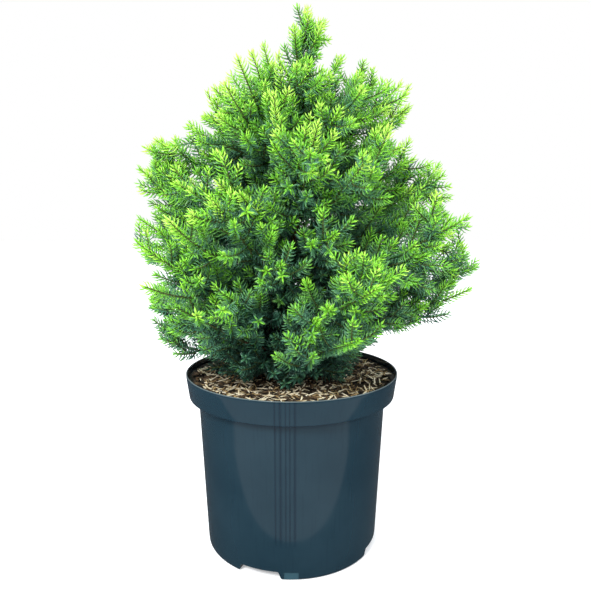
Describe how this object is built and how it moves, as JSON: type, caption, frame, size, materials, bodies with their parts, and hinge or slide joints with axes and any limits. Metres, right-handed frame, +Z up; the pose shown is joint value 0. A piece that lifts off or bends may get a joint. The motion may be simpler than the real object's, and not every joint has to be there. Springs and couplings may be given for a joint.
{
  "type": "vilmorin gold japanese cedar in a nursery pot",
  "caption": "Potted dwarf Japanese cedar with golden shoot tips: tapered trunk, tiers of boughs and needled masses over a round blue-grey nursery pot.",
  "frame": {"origin": "centre of the pot's flat underside", "axes": "+Z up along the pot's axis and the trunk, +X to the right and +Y away, seen from the picture's side"},
  "size_m": [0.3652, 0.3558, 0.5572],
  "materials": {
    "pot_plastic": "glossy dark blue-grey moulded plastic with soft vertical streaks",
    "mulch": "dark potting mix with pale loose fibres on top",
    "bark": "matt red-brown bark with fine lengthwise ridges",
    "foliage_deep": "dark green needles with a slight sheen",
    "foliage_mid": "fresh green needles with a slight sheen",
    "foliage_gold": "bright yellow-green needles of the shoot tips"
  },
  "bodies": {
    "root": {"bough_broad_1": "bark", "bough_broad_2": "bark", "bough_broad_3": "bark", "bough_broad_4": "bark", "bough_broad_5": "bark", "bough_low_1": "bark", "bough_low_2": "bark", "bough_low_3": "bark", "bough_low_4": "bark", "bough_shoulder_1": "bark", "bough_shoulder_2": "bark", "bough_shoulder_3": "bark", "bough_shoulder_4": "bark", "bough_shoulder_5": "bark", "bough_skirt_1": "bark", "bough_skirt_2": "bark", "bough_skirt_3": "bark", "bough_skirt_4": "bark", "bough_skirt_5": "bark", "bough_skirt_6": "bark", "bough_upper_1": "bark", "bough_upper_2": "bark", "bough_upper_3": "bark", "bough_upper_4": "bark", "foliage_broad_1": "foliage_mid", "foliage_broad_2": "foliage_mid", "foliage_broad_3": "foliage_mid", "foliage_broad_4": "foliage_mid", "foliage_broad_5": "foliage_mid", "foliage_high_1": "foliage_gold", "foliage_high_2": "foliage_gold", "foliage_high_3": "foliage_gold", "foliage_high_4": "foliage_gold", "foliage_leader": "foliage_gold", "foliage_low_1": "foliage_deep", "foliage_low_2": "foliage_deep", "foliage_low_3": "foliage_deep", "foliage_low_4": "foliage_deep", "foliage_shoulder_1": "foliage_mid", "foliage_shoulder_2": "foliage_mid", "foliage_shoulder_3": "foliage_mid", "foliage_shoulder_4": "foliage_mid", "foliage_shoulder_5": "foliage_mid", "foliage_skirt_1": "foliage_deep", "foliage_skirt_2": "foliage_deep", "foliage_skirt_3": "foliage_deep", "foliage_skirt_4": "foliage_deep", "foliage_skirt_5": "foliage_deep", "foliage_skirt_6": "foliage_deep", "foliage_top_1": "foliage_gold", "foliage_top_2": "foliage_gold", "foliage_top_3": "foliage_gold", "foliage_upper_1": "foliage_gold", "foliage_upper_2": "foliage_gold", "foliage_upper_3": "foliage_gold", "foliage_upper_4": "foliage_gold", "pot": "pot_plastic", "potting_mix": "mulch", "trunk": "bark"}
  },
  "joints": []
}
